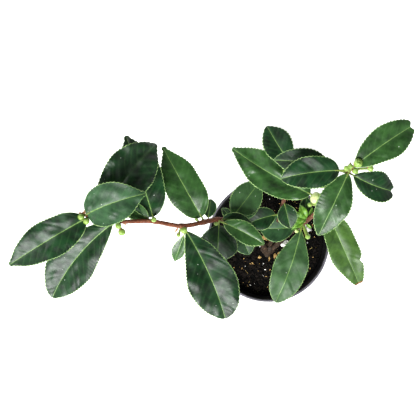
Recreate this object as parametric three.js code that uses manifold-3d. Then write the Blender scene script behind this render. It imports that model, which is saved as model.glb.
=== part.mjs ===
// Young tea camellia in a round nursery pot.
// Millimetres, +Z up. The origin is the centre of the pot's flat underside.
// Seen from straight above, +X is right and +Y is up.

import * as THREE from 'three';
import Module from 'manifold-3d';
import { mergeVertices } from 'three/addons/utils/BufferGeometryUtils.js';

const wasm = await Module();
wasm.setup();

const gap = 0.35; // clearance kept between neighbouring solids

const pot = {
  height: 105,
  rimRadius: 57.5, // outside of the rolled lip
  footRadius: 40,
  wall: 1.3,
  floor: 1.8,
  lipDepth: 9, // height of the band under the lip
  lipStep: 1.6, // how far that band stands out from the wall
  lipRound: 0.6, // how much the band is drawn in at its edges
  holeCount: 6,
  holeWidth: 9,
  holeHeight: 7,
  holeDepth: 12,
  sides: 48,
};

const soil = {
  level: 93, // top of the potting mix, under the rim
  roughness: 1.1,
  seatRadius: 15, // flat middle that the trunk stands on
};

const trunk = {
  foot: [0, -9],
  lean: [2, 3],
  height: 13,
  radius: 4.2,
  flare: 1.9, // foot radius over stem radius
  buttresses: 4,
  collar: 7, // length of each bough's stub on the fork
};

// Each limb: a few places that it grows through, and its radius where it starts and ends.
const limbs = {
  left_bough: {
    route: [
      [-1, -9, 100], [-12, 3, 126], [-24, 14, 154], [-47, 21, 185],
      [-78, 16, 205], [-104, 20, 217], [-130, 20, 225], [-157, 25, 229],
    ],
    radius: [2.5, 1.5],
  },
  right_bough: {
    route: [[3, -8, 100], [14, 4, 122], [24, 14, 140], [36, 25, 165], [46, 42, 195], [58, 62, 233]],
    radius: [2.6, 1.5],
  },
  middle_shoot: {
    route: [[1, -5, 102], [4, 8, 130], [9, 34, 160], [16, 64, 191]],
    radius: [2, 1.1],
  },
};

// Each mass: the limb it grows on, the stretch its core covers (as shares of the limb's length),
// and its leaves. A leaf gives the share of the limb where it sits, petiole and blade lengths and
// width, its heading in plan (degrees from +X), its rise at the base and how far it droops by its
// tip; where they differ from usualLeaf, also its bend, the share of its length where it is widest
// and how pointed its tip is.
const usualLeaf = { bend: 0, widest: 0.5, tip: 0.75 };
const masses = {
  right_end_leaves: {
    limb: 'right_bough',
    core: [0.955, 1],
    leaves: [
      {
        at: 0.99, petiole: 3, length: 58, width: 27, heading: -114,
        rise: 8, droop: 42, bend: 4, tip: 0.72,
      },
      {
        at: 1, petiole: 3, length: 59, width: 29, heading: 35,
        rise: 16, droop: 32, bend: -10, widest: 0.57, tip: 0.62,
      },
      {
        at: 0.97, petiole: 5, length: 39, width: 25, heading: -20,
        rise: 0, droop: 32, bend: 20, widest: 0.55, tip: 0.62,
      },
      {
        at: 0.99, petiole: 9, length: 49, width: 27, heading: 188,
        rise: 18, droop: 38, bend: 14, widest: 0.45, tip: 0.7,
      },
      {
        at: 0.965, petiole: 12, length: 50, width: 24, heading: 171,
        rise: -4, droop: 20, bend: 14, tip: 0.8,
      },
    ],
  },
  left_end_leaves: {
    limb: 'left_bough',
    core: [0.885, 1],
    leaves: [
      {
        at: 0.98, petiole: 4, length: 75, width: 32, heading: -149,
        rise: 9, droop: 30, bend: 4, widest: 0.42, tip: 0.82,
      },
      {
        at: 1, petiole: 2, length: 53, width: 35, heading: 19,
        rise: 26, droop: 36, bend: -14, widest: 0.4, tip: 0.95,
      },
      {
        at: 0.885, petiole: 3, length: 86, width: 38, heading: -130,
        rise: -8, droop: 14, bend: 28, widest: 0.56, tip: 0.64,
      },
      {
        at: 0.95, petiole: 5, length: 75, width: 40, heading: 52,
        rise: 4, droop: 32, bend: -12, tip: 0.8,
      },
    ],
  },
  front_left_leaves: {
    limb: 'left_bough',
    core: [0.6, 0.63],
    leaves: [
      {
        at: 0.625, petiole: 5, length: 83, width: 41, heading: -66,
        rise: 14, droop: 36, bend: -18, widest: 0.6, tip: 0.62,
      },
      {
        at: 0.605, petiole: 9, length: 27, width: 11, heading: -110,
        rise: -20, droop: 12, widest: 0.6, tip: 0.8,
      },
    ],
  },
  left_upper_leaves: {
    limb: 'left_bough',
    core: [0.51, 0.54],
    leaves: [
      {
        at: 0.53, petiole: 5, length: 69, width: 32, heading: 119,
        rise: 20, droop: 36, bend: -2, widest: 0.42, tip: 0.95,
      },
      { at: 0.515, petiole: 3, length: 18, width: 12, heading: 82, rise: -15, droop: 20 },
    ],
  },
  rim_left_leaves: {
    limb: 'left_bough',
    core: [0.455, 0.475],
    leaves: [
      {
        at: 0.475, petiole: 7, length: 40, width: 18, heading: -28,
        rise: 18, droop: 36, bend: -12,
      },
      {
        at: 0.465, petiole: 4, length: 27, width: 13, heading: -8,
        rise: 0, droop: 26, bend: -20, widest: 0.4, tip: 0.8,
      },
      {
        at: 0.46, petiole: 5, length: 36, width: 34, heading: -92,
        rise: -18, droop: 16, tip: 0.62,
      },
    ],
  },
  left_back_leaves: {
    limb: 'left_bough',
    core: [0.73, 0.75],
    leaves: [
      {
        at: 0.74, petiole: 4, length: 72, width: 37, heading: 109,
        rise: 0, droop: 12, bend: 6, widest: 0.43, tip: 0.9,
      },
      { at: 0.745, petiole: 4, length: 26, width: 15, heading: 150, rise: 4, droop: 26 },
    ],
  },
  low_left_leaves: {
    limb: 'left_bough',
    core: [0.34, 0.4],
    leaves: [
      {
        at: 0.4, petiole: 5, length: 37, width: 27, heading: 52,
        rise: 8, droop: 26, widest: 0.52, tip: 0.64,
      },
      { at: 0.36, petiole: 10, length: 22, width: 17, heading: -66, rise: 0, droop: 30, tip: 0.7 },
      { at: 0.345, petiole: 7, length: 19, width: 8, heading: 38, rise: -14, droop: 20 },
      { at: 0.345, petiole: 5, length: 15, width: 8, heading: 135, rise: -8, droop: 20 },
    ],
  },
  right_middle_leaves: {
    limb: 'right_bough',
    core: [0.62, 0.67],
    leaves: [
      {
        at: 0.63, petiole: 4, length: 75, width: 27, heading: -65,
        rise: 6, droop: 30, bend: 2, tip: 0.62,
      },
      {
        at: 0.66, petiole: 14, length: 79, width: 33, heading: 149,
        rise: 2, droop: 22, bend: -14, widest: 0.45, tip: 0.85,
      },
    ],
  },
  centre_leaves: {
    limb: 'middle_shoot',
    core: [0.5, 0.66],
    leaves: [
      { at: 0.51, petiole: 4, length: 29, width: 21, heading: 198, rise: 14, droop: 28, bend: 16 },
      { at: 0.66, petiole: 3, length: 22, width: 18, heading: -76, rise: 8, droop: 26, tip: 0.7 },
    ],
  },
  right_base_leaves: {
    limb: 'right_bough',
    core: [0.31, 0.39],
    leaves: [
      {
        at: 0.32, petiole: 4, length: 31, width: 24, heading: 182,
        rise: 14, droop: 30, bend: -14, tip: 0.64,
      },
      {
        at: 0.365, petiole: 6, length: 70, width: 31, heading: -109,
        rise: 14, droop: 34, bend: -12, widest: 0.58, tip: 0.64,
      },
      { at: 0.39, petiole: 5, length: 18, width: 11, heading: 86, rise: 14, droop: 24 },
    ],
  },
  middle_top_leaf: {
    limb: 'middle_shoot',
    core: [0.97, 1],
    leaves: [
      {
        at: 1, petiole: 5, length: 39, width: 25, heading: 121,
        rise: 4, droop: 26, bend: -6, tip: 0.66,
      },
    ],
  },
};

// Padding of the leaf solids: thickness along the midrib and at the margin, and the fold's angle.
const pad = { middle: 3.4, margin: 1.4, fold: 12, stalk: 1.2, rowLength: 11 };
const baseRoundness = 0.62;
const core = { padding: 3.2, sides: 7 };

function finish(color, roughness) {
  return new THREE.MeshStandardMaterial({ color, roughness, metalness: 0 });
}

const blackPlastic = finish(0x1b1b1d, 0.45);
const pottingMix = finish(0x2a1f18, 0.95);
const bark = finish(0x7a4a36, 0.75);
const foliage = finish(0x2f5a34, 0.4);

function solidOf(geometry) {
  geometry.deleteAttribute('normal');
  geometry.deleteAttribute('uv');
  const merged = mergeVertices(geometry, 1e-4);
  return new wasm.Manifold(
    new wasm.Mesh({
      numProp: 3,
      vertProperties: Float32Array.from(merged.attributes.position.array),
      triVerts: Uint32Array.from(merged.index.array),
    }),
  );
}

function geometryOf(solid) {
  const { vertProperties, triVerts } = solid.getMesh();
  const geometry = new THREE.BufferGeometry();
  geometry.setAttribute('position', new THREE.BufferAttribute(vertProperties, 3));
  geometry.setIndex(new THREE.BufferAttribute(triVerts, 1));
  geometry.computeVertexNormals();
  return geometry;
}

function union(solids) {
  return solids.reduce((whole, solid) => whole.add(solid));
}

function largestPiece(solid) {
  return solid.decompose().sort((a, b) => b.volume() - a.volume())[0];
}

function moveVertices(geometry, place) {
  const position = geometry.attributes.position;
  for (let i = 0; i < position.count; i++) {
    const point = place(position.getX(i), position.getY(i), position.getZ(i));
    position.setXYZ(i, point.x, point.y, point.z);
  }
  return geometry;
}

const up = new THREE.Vector3(0, 0, 1);

function direction(heading, rise) {
  const h = THREE.MathUtils.degToRad(heading);
  const r = THREE.MathUtils.degToRad(rise);
  return new THREE.Vector3(Math.cos(h) * Math.cos(r), Math.sin(h) * Math.cos(r), Math.sin(r));
}

function curveOf(limb) {
  const places = limb.route.map((place) => new THREE.Vector3(...place));
  return new THREE.CatmullRomCurve3(places, false, 'centripetal');
}

// A round closed limb along a curve, from one share of its length to another. CylinderGeometry
// stands along Y, so its height is carried onto the curve and its rings across it.
function limbSolid(curve, from, to, radiusAt, sides, steps) {
  const geometry = new THREE.CylinderGeometry(1, 1, 1, sides, steps);
  moveVertices(geometry, (x, y, z) => {
    const t = y + 0.5;
    const share = from + (to - from) * t;
    const tangent = curve.getTangentAt(share);
    const across = new THREE.Vector3().crossVectors(tangent, new THREE.Vector3(0, 1, 0)).normalize();
    const other = new THREE.Vector3().crossVectors(tangent, across);
    const radius = radiusAt(t, Math.atan2(z, x));
    return curve.getPointAt(share).addScaledVector(across, x * radius).addScaledVector(other, -z * radius);
  });
  return solidOf(geometry);
}

function taper([start, end]) {
  return (t) => start + (end - start) * t;
}

function wallRadius(z) {
  const top = pot.rimRadius - pot.lipStep;
  return pot.footRadius + ((top - pot.footRadius) * z) / pot.height;
}

function potSolid() {
  const band = pot.height - pot.lipDepth;
  const profile = [
    [0, 0],
    [pot.footRadius, 0],
    [wallRadius(band), band],
    [pot.rimRadius - pot.lipRound, band + pot.lipRound],
    [pot.rimRadius, pot.height - 2 * pot.lipRound],
    [pot.rimRadius - pot.lipRound, pot.height],
    [wallRadius(pot.height) - pot.wall, pot.height - 0.4],
    [wallRadius(pot.floor) - pot.wall, pot.floor],
    [0, pot.floor],
  ];
  const points = profile.map(([r, z]) => new THREE.Vector2(r, z));
  const shell = new THREE.LatheGeometry(points, pot.sides).rotateX(Math.PI / 2);
  let solid = solidOf(shell);
  for (let i = 0; i < pot.holeCount; i++) {
    const hole = new THREE.BoxGeometry(pot.holeDepth, pot.holeWidth, pot.holeHeight);
    hole.translate(pot.footRadius, 0, pot.floor + pot.holeHeight / 2);
    hole.rotateZ((i * 2 * Math.PI) / pot.holeCount);
    solid = solid.subtract(solidOf(hole));
  }
  return solid;
}

function soilSolid() {
  const bottom = pot.floor + gap;
  const inside = (z) => wallRadius(z) - pot.wall - gap;
  const points = [new THREE.Vector2(0, bottom), new THREE.Vector2(inside(bottom), bottom)];
  const rings = 4;
  for (let i = 0; i <= rings; i++) {
    const radius = inside(soil.level) - ((inside(soil.level) - soil.seatRadius) * i) / rings;
    points.push(new THREE.Vector2(radius, soil.level));
  }
  points.push(new THREE.Vector2(0, soil.level));
  const body = new THREE.LatheGeometry(points, pot.sides / 2).rotateX(Math.PI / 2);
  moveVertices(body, (x, y, z) => {
    const radius = Math.hypot(x, y);
    const loose = z > soil.level - 0.01 && radius > soil.seatRadius + 1 && radius < inside(soil.level) - 1;
    const drop = loose ? soil.roughness * (Math.sin(x * 0.19) * Math.cos(y * 0.23) - 0.6) : 0;
    return new THREE.Vector3(x, y, z + drop);
  });
  return solidOf(body);
}

function trunkSolid(grow) {
  const [footX, footY] = trunk.foot;
  const ground = soil.level + gap;
  const places = [0, 0.35, 1].map(
    (t) => new THREE.Vector3(
      footX + trunk.lean[0] * t * t,
      footY + trunk.lean[1] * t * t,
      ground + trunk.height * t,
    ),
  );
  const curve = new THREE.CatmullRomCurve3(places, false, 'centripetal');
  const radiusAt = (t, angle) => {
    const flare = (trunk.flare - 1) * Math.exp(-t * 5);
    const lobes = 1 + 0.25 * Math.cos(trunk.buttresses * angle);
    return trunk.radius * (1 + flare * lobes) * (1 - 0.12 * t) + grow;
  };
  const stem = limbSolid(curve, 0, 1, radiusAt, 16, 8);
  const floor = new THREE.BoxGeometry(60, 60, 20).translate(footX, footY, ground - 10);
  const stubs = Object.values(limbs).map((limb) => {
    const along = curveOf(limb);
    const end = trunk.collar / along.getLength();
    return limbSolid(along, 0, end + grow / along.getLength(), () => limb.radius[0] + 0.3 + grow, 10, 2);
  });
  const cap = new THREE.SphereGeometry(trunk.radius * 0.95 + grow, 14, 8).translate(
    footX + trunk.lean[0],
    footY + trunk.lean[1],
    ground + trunk.height - 2,
  );
  return union([stem, solidOf(cap), ...stubs]).subtract(solidOf(floor));
}

// A bough ends where it enters the mass at its tip; it runs on through the ones along its way.
function boughSolid(name, limb, grow) {
  const curve = curveOf(limb);
  const start = trunk.collar / curve.getLength();
  const tipMass = Object.values(masses).find((mass) => mass.limb === name && mass.core[1] === 1);
  const end = tipMass.core[0];
  const radiusAt = (t) => taper(limb.radius)(start + (end - start) * t) + grow;
  return limbSolid(curve, start, end, radiusAt, 8, 14);
}

function halfWidth(leaf, s) {
  const bulge = Math.sin(Math.PI * s ** (Math.log(0.5) / Math.log(leaf.widest)));
  const towardsTip = THREE.MathUtils.smoothstep(s, 0.5, 1);
  const power = baseRoundness + (leaf.tip - baseRoundness) * towardsTip;
  return (leaf.width / 2) * Math.max(0, bulge) ** power;
}

// One leaf as a thin pad: a box whose length runs out along the petiole and midrib.
function leafSolid(curve, leaf, grow) {
  const whole = leaf.petiole + leaf.length;
  const rows = Math.max(5, Math.round(whole / pad.rowLength));
  const columns = leaf.width > 20 ? 4 : 2;
  const stepsPerRow = 4;
  const count = rows * stepsPerRow;
  const spine = [];
  const place = curve.getPointAt(leaf.at);
  for (let i = 0; i <= count; i++) {
    const s = Math.max(0, (whole * i) / count - leaf.petiole) / leaf.length;
    const heading = leaf.heading + leaf.bend * (s - 0.5);
    const tangent = direction(heading, leaf.rise - leaf.droop * s);
    const side = direction(heading + 90, 0);
    spine.push({ place: place.clone(), side, top: new THREE.Vector3().crossVectors(tangent, side), s });
    place.addScaledVector(tangent, whole / count);
  }
  const fold = THREE.MathUtils.degToRad(pad.fold);
  const geometry = new THREE.BoxGeometry(1, 2, 2, rows, columns, 1);
  moveVertices(geometry, (x, y, z) => {
    const ring = spine[Math.round((x + 0.5) * count)];
    const width = Math.max(halfWidth(leaf, ring.s), pad.stalk) + grow;
    const margin = Math.abs(y);
    const thickness = pad.middle + (pad.margin - pad.middle) * margin;
    const out = ring.place.clone();
    out.addScaledVector(ring.side, y * width * Math.cos(fold));
    return out.addScaledVector(ring.top, margin * width * Math.sin(fold) + z * (thickness / 2 + grow));
  });
  return solidOf(geometry);
}

function massSolid(mass, grow) {
  const limb = limbs[mass.limb];
  const curve = curveOf(limb);
  const [from, to] = mass.core;
  const reach = core.padding / curve.getLength();
  const radiusAt = taper(limb.radius)((from + to) / 2) + core.padding;
  const swell = (t) => radiusAt * (0.55 + 0.45 * Math.sin(Math.PI * t)) + grow;
  const sleeve = limbSolid(curve, from - reach, Math.min(1, to + reach), swell, core.sides, 4);
  const parts = [sleeve, ...mass.leaves.map((leaf) => leafSolid(curve, { ...usualLeaf, ...leaf }, grow))];
  if (to === 1) {
    const end = curve.getPointAt(1);
    parts.push(solidOf(new THREE.SphereGeometry(radiusAt * 0.8 + grow, 8, 5).translate(end.x, end.y, end.z)));
  }
  return union(parts);
}

const shrub = new THREE.Group();

function addPart(name, solid, material) {
  const mesh = new THREE.Mesh(geometryOf(solid), material);
  mesh.name = name;
  shrub.add(mesh);
}

addPart('pot', potSolid(), blackPlastic);
addPart('potting_mix', soilSolid(), pottingMix);
addPart('trunk', trunkSolid(0), bark);

// What already stands is cut, a little enlarged, out of everything that comes after it.
let taken = trunkSolid(gap);

function grow(name, build, material) {
  addPart(name, largestPiece(build(0).subtract(taken)), material);
  taken = taken.add(build(gap));
}

for (const [name, limb] of Object.entries(limbs)) {
  grow(name, (extra) => boughSolid(name, limb, extra), bark);
}
for (const [name, mass] of Object.entries(masses)) {
  grow(name, (extra) => massSolid(mass, extra), foliage);
}

export default shrub;
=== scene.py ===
# Young tea camellia in a black nursery pot. Lengths in the tables are millimetres, angles are degrees.
import math
import random

import bpy
import numpy as np
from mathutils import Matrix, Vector, noise


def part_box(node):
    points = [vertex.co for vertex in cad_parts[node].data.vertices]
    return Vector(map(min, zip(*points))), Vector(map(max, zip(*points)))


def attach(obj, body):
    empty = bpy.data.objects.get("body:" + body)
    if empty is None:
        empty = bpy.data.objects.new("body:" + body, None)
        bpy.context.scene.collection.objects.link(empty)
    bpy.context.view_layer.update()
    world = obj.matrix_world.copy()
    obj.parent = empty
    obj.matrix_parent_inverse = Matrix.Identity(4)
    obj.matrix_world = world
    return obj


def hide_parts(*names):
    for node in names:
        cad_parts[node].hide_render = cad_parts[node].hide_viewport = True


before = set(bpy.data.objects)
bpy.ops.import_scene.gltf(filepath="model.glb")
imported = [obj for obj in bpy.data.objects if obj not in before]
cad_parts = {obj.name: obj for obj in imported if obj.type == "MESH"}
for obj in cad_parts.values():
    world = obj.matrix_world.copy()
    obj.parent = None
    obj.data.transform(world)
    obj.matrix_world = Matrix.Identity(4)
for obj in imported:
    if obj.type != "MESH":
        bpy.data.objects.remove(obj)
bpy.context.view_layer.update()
mm = 0.001
print("frame loaded")


def hexToLinear(text):
    # sRGB hex to the linear colour that shaders use
    parts = [int(text[i:i + 2], 16) / 255 for i in (1, 3, 5)]
    return [p / 12.92 if p <= 0.04045 else ((p + 0.055) / 1.055) ** 2.4 for p in parts] + [1.0]


def addNode(tree, kind, settings=None, links=None):
    # One node with its settings and links. A setting is a socket's value, a property of the node,
    # or the stops of a ramp.
    made = tree.nodes.new(kind)
    for key, value in (settings or {}).items():
        if key == "stops":
            elements = made.color_ramp.elements
            while len(elements) < len(value):
                elements.new(0.5)
            for element, (place, colour) in zip(elements, value):
                element.position = place
                element.color = hexToLinear(colour)
        elif isinstance(key, int) or key in made.inputs:
            made.inputs[key].default_value = value
        else:
            setattr(made, key, value)
    for key, source in (links or {}).items():
        tree.links.new(source, made.inputs[key])
    return made


def newMaterial(name, **values):
    # an empty material with one Principled node: returns the material, its tree and that node
    material = bpy.data.materials.new(name)
    material.use_nodes = True
    tree = material.node_tree
    shader = tree.nodes["Principled BSDF"]
    for key, value in values.items():
        shader.inputs[key.replace("_", " ")].default_value = value
    return material, tree, shader


def setSmooth(mesh, smooth):
    mesh.polygons.foreach_set("use_smooth", [smooth] * len(mesh.polygons))


def addPiece(name, points, faces, materials, slots=None, attributes=None):
    # one mesh object from arrays of points (metres) and faces
    mesh = bpy.data.meshes.new(name)
    mesh.from_pydata([tuple(p) for p in points], [], faces)
    for material in materials:
        mesh.materials.append(material)
    if slots is not None:
        mesh.polygons.foreach_set("material_index", np.array(slots, np.int32))
    for key, values in (attributes or {}).items():
        layer = mesh.attributes.new(key, "FLOAT", "POINT")
        layer.data.foreach_set("value", np.array(values, np.float32))
    setSmooth(mesh, True)
    mesh.validate()
    mesh.update()
    piece = bpy.data.objects.new(name, mesh)
    bpy.context.scene.collection.objects.link(piece)
    return piece


class Batch:
    # many small meshes gathered into one piece
    def __init__(self):
        self.points, self.faces, self.slots, self.extra = [], [], [], []
        self.count = 0

    def add(self, points, faces, slots=0, extra=None):
        start = self.count
        self.points.append(np.asarray(points, float))
        self.faces += [tuple(start + i for i in face) for face in faces]
        self.slots += [slots] * len(faces) if isinstance(slots, int) else list(slots)
        self.extra.append(np.zeros(len(points)) if extra is None else np.asarray(extra))
        self.count += len(points)

    def piece(self, name, materials, attribute=None):
        extra = {attribute: np.concatenate(self.extra)} if attribute else None
        return addPiece(name, np.concatenate(self.points) * mm, self.faces, materials, self.slots, extra)


def aim(heading, rise):
    h, r = math.radians(heading), math.radians(rise)
    return np.array([math.cos(h) * math.cos(r), math.sin(h) * math.cos(r), math.sin(r)])


def unit(vectors):
    return vectors / np.maximum(np.linalg.norm(vectors, axis=-1, keepdims=True), 1e-9)


def noiseAt(x, y, z):
    return noise.noise(Vector((x, y, z)))


def ringFaces(rings, sides, first=0, inward=False):
    # quads between neighbouring rings of points
    faces = []
    for k in range(rings - 1):
        for j in range(sides):
            a, b = first + k * sides + j, first + k * sides + (j + 1) % sides
            faces.append((a, a + sides, b + sides, b) if inward else (a, b, b + sides, a + sides))
    return faces


def ringCaps(rings, sides):
    # one face over the first ring and one over the last
    return [tuple(range(sides - 1, -1, -1)), tuple(range((rings - 1) * sides, rings * sides))]


def splineThrough(route, count=200):
    # centripetal Catmull-Rom curve through the places of a route
    route = [np.array(p, float) for p in route]
    ends = [2 * route[0] - route[1]] + route + [2 * route[-1] - route[-2]]
    curve = []
    for i in range(count + 1):
        whole = (len(route) - 1) * i / count
        k = min(int(whole), len(route) - 2)
        w = whole - k
        p0, p1, p2, p3 = ends[k:k + 4]
        d0, d1, d2 = [max(1e-4, np.linalg.norm(b - a) ** 0.5) for a, b in ((p0, p1), (p1, p2), (p2, p3))]
        t1 = ((p1 - p0) / d0 - (p2 - p0) / (d0 + d1) + (p2 - p1) / d1) * d1
        t2 = ((p2 - p1) / d1 - (p3 - p1) / (d1 + d2) + (p3 - p2) / d2) * d1
        curve.append(
            p1 + t1 * w + (-3 * p1 + 3 * p2 - 2 * t1 - t2) * w * w + (2 * p1 - 2 * p2 + t1 + t2) * w ** 3
        )
    return np.array(curve)


def placeAt(curve, share):
    # the place at a share of a curve's length
    lengths = np.concatenate([[0], np.cumsum(np.linalg.norm(np.diff(curve, axis=0), axis=1))])
    at = np.clip(share, 0, 1) * lengths[-1]
    return np.array([np.interp(at, lengths, curve[:, k]) for k in range(3)])


def tubeAlong(path, radii, sides, relief=None):
    # rings carried along a path without turning; relief(k, angle) moves the skin in or out
    path = np.asarray(path, float)
    tangents = unit(np.gradient(path, axis=0))
    across = unit(np.cross(tangents[0], [0.13, 0.97, 0.2]))
    points, rings = [], len(path)
    for k in range(rings):
        across = unit(across - tangents[k] * np.dot(across, tangents[k]))
        other = np.cross(tangents[k], across)
        for j in range(sides):
            angle = 2 * math.pi * j / sides
            radius = radii[k] + (relief(k, angle) if relief else 0)
            points.append(path[k] + radius * (math.cos(angle) * across + math.sin(angle) * other))
    return np.array(points), ringFaces(rings, sides) + ringCaps(rings, sides)


def teaLeaf(name, deep, light, rough):
    # Camellia leaf, upper side: a waxed, leathery skin. The eye gets a deep green with soft broad
    # highlights, faint paler side veins and a fine grain.
    material, tree, shader = newMaterial(name, IOR=1.41)
    where = addNode(tree, "ShaderNodeTexCoord").outputs["Object"]
    cloud = addNode(
        tree, "ShaderNodeTexNoise", {"Scale": 1 / (9 * mm), "Detail": 4, "Roughness": 0.6}, {"Vector": where}
    )
    green = addNode(
        tree, "ShaderNodeValToRGB", {"stops": [(0.36, deep), (0.64, light)]}, {"Fac": cloud.outputs["Fac"]}
    )
    vein = addNode(tree, "ShaderNodeAttribute", {"attribute_name": "vein"})
    veined = addNode(
        tree, "ShaderNodeMix", {"data_type": "RGBA", 7: hexToLinear("#5f8450")},
        {0: vein.outputs["Fac"], 6: green.outputs["Color"]},
    )
    # dust and droplet marks up to 0.9 mm across, some three of them on a large leaf
    dots = addNode(
        tree, "ShaderNodeTexVoronoi", {"Scale": 1 / (7 * mm), "Randomness": 1.0}, {"Vector": where}
    )
    near = addNode(
        tree, "ShaderNodeMath", {"operation": "LESS_THAN", 1: 0.065}, {0: dots.outputs["Distance"]}
    )
    pick = addNode(tree, "ShaderNodeSeparateColor", None, {"Color": dots.outputs["Color"]})
    some = addNode(tree, "ShaderNodeMath", {"operation": "GREATER_THAN", 1: 0.45}, {0: pick.outputs["Red"]})
    both = addNode(
        tree, "ShaderNodeMath", {"operation": "MULTIPLY"}, {0: near.outputs[0], 1: some.outputs[0]}
    )
    speck = addNode(tree, "ShaderNodeMath", {"operation": "MULTIPLY", 1: 0.55}, {0: both.outputs[0]})
    dusted = addNode(
        tree, "ShaderNodeMix", {"data_type": "RGBA", 7: hexToLinear("#c9d3c4")},
        {0: speck.outputs[0], 6: veined.outputs[2]},
    )
    tree.links.new(dusted.outputs[2], shader.inputs["Base Color"])
    # wax worn unevenly, in patches of about 5 mm
    wear = addNode(tree, "ShaderNodeTexNoise", {"Scale": 1 / (5 * mm), "Detail": 3}, {"Vector": where})
    gloss = addNode(
        tree, "ShaderNodeMapRange",
        {"From Min": 0.3, "From Max": 0.7, "To Min": rough - 0.07, "To Max": rough + 0.09},
        {"Value": wear.outputs["Fac"]},
    )
    tree.links.new(gloss.outputs["Result"], shader.inputs["Roughness"])
    # the skin's grain, drawn at 0.7 mm so that it shows
    grain = addNode(tree, "ShaderNodeTexNoise", {"Scale": 1 / (0.7 * mm), "Detail": 2}, {"Vector": where})
    relief = addNode(
        tree, "ShaderNodeBump", {"Strength": 0.35, "Distance": 0.05 * mm}, {"Height": grain.outputs["Fac"]}
    )
    tree.links.new(relief.outputs["Normal"], shader.inputs["Normal"])
    return material


def plainTissue(name, dark, light, rough, grainSize, **values):
    # Softer plant tissue such as petiole, bud scale or leaf underside: matt to satin, with mild mottling
    material, tree, shader = newMaterial(name, **{"Roughness": rough, "IOR": 1.42, **values})
    where = addNode(tree, "ShaderNodeTexCoord").outputs["Object"]
    mottle = addNode(
        tree, "ShaderNodeTexNoise", {"Scale": 1 / (grainSize * mm), "Detail": 3}, {"Vector": where}
    )
    colour = addNode(
        tree, "ShaderNodeValToRGB", {"stops": [(0.32, dark), (0.68, light)]}, {"Fac": mottle.outputs["Fac"]}
    )
    relief = addNode(
        tree, "ShaderNodeBump", {"Strength": 0.3, "Distance": 0.06 * mm}, {"Height": mottle.outputs["Fac"]}
    )
    tree.links.new(colour.outputs["Color"], shader.inputs["Base Color"])
    tree.links.new(relief.outputs["Normal"], shader.inputs["Normal"])
    return material


def teaBark(name, dark, light, dust):
    # Young camellia wood: thin reddish bark with lengthwise cracks and tan flakes, dry and dull.
    # Towards the foot it turns darker, browner and greyer: partly older bark, partly painted shade under the
    # leaves.
    material, tree, shader = newMaterial(name, Roughness=0.7, IOR=1.4)
    where = addNode(tree, "ShaderNodeTexCoord").outputs["Object"]
    streak = addNode(
        tree, "ShaderNodeTexNoise", {"Scale": 1 / (2.5 * mm), "Detail": 5, "Roughness": 0.65},
        {"Vector": where},
    ).outputs["Fac"]
    young = addNode(tree, "ShaderNodeValToRGB", {"stops": [(0.3, dark), (0.62, light)]}, {"Fac": streak})
    # colour of the lower limbs: older bark, darkened further as painted shade under the leaves
    old = addNode(
        tree, "ShaderNodeValToRGB", {"stops": [(0.34, "#18110c"), (0.66, "#3f3022")]}, {"Fac": streak}
    )
    height = addNode(tree, "ShaderNodeSeparateXYZ", None, {"Vector": where})
    # between 125 and 195 mm high the bark turns from the darker painted-shade colour to the young colour
    heightBlend = addNode(
        tree, "ShaderNodeMapRange", {"From Min": 125 * mm, "From Max": 195 * mm},
        {"Value": height.outputs["Z"]},
    )
    agedAndShaded = addNode(
        tree, "ShaderNodeMix", {"data_type": "RGBA"},
        {0: heightBlend.outputs["Result"], 6: old.outputs["Color"], 7: young.outputs["Color"]},
    )
    scales = addNode(tree, "ShaderNodeTexNoise", {"Scale": 1 / (1.1 * mm), "Detail": 2}, {"Vector": where})
    isFlake = addNode(
        tree, "ShaderNodeMapRange", {"From Min": 0.6, "From Max": 0.68, "To Max": 0.7},
        {"Value": scales.outputs["Fac"]},
    )
    flaked = addNode(
        tree, "ShaderNodeMix", {"data_type": "RGBA", 7: hexToLinear(dust)},
        {0: isFlake.outputs["Result"], 6: agedAndShaded.outputs[2]},
    )
    relief = addNode(tree, "ShaderNodeBump", {"Strength": 0.6, "Distance": 0.12 * mm}, {"Height": streak})
    tree.links.new(flaked.outputs[2], shader.inputs["Base Color"])
    tree.links.new(relief.outputs["Normal"], shader.inputs["Normal"])
    return material


def mouldedPolypropylene(name, dark, light):
    # Injection-moulded black polypropylene: satin skin with a fine spark-eroded grain and faint scuffs
    material, tree, shader = newMaterial(name, IOR=1.49)
    where = addNode(tree, "ShaderNodeTexCoord").outputs["Object"]
    scuff = addNode(
        tree, "ShaderNodeTexNoise", {"Scale": 1 / (14 * mm), "Detail": 6, "Roughness": 0.7},
        {"Vector": where},
    ).outputs["Fac"]
    black = addNode(tree, "ShaderNodeValToRGB", {"stops": [(0.35, dark), (0.75, light)]}, {"Fac": scuff})
    satin = addNode(
        tree, "ShaderNodeMapRange", {"From Min": 0.3, "From Max": 0.7, "To Min": 0.34, "To Max": 0.5},
        {"Value": scuff},
    )
    grain = addNode(tree, "ShaderNodeTexNoise", {"Scale": 1 / (0.5 * mm), "Detail": 1}, {"Vector": where})
    relief = addNode(
        tree, "ShaderNodeBump", {"Strength": 0.25, "Distance": 0.04 * mm}, {"Height": grain.outputs["Fac"]}
    )
    tree.links.new(black.outputs["Color"], shader.inputs["Base Color"])
    tree.links.new(satin.outputs["Result"], shader.inputs["Roughness"])
    tree.links.new(relief.outputs["Normal"], shader.inputs["Normal"])
    return material


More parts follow.
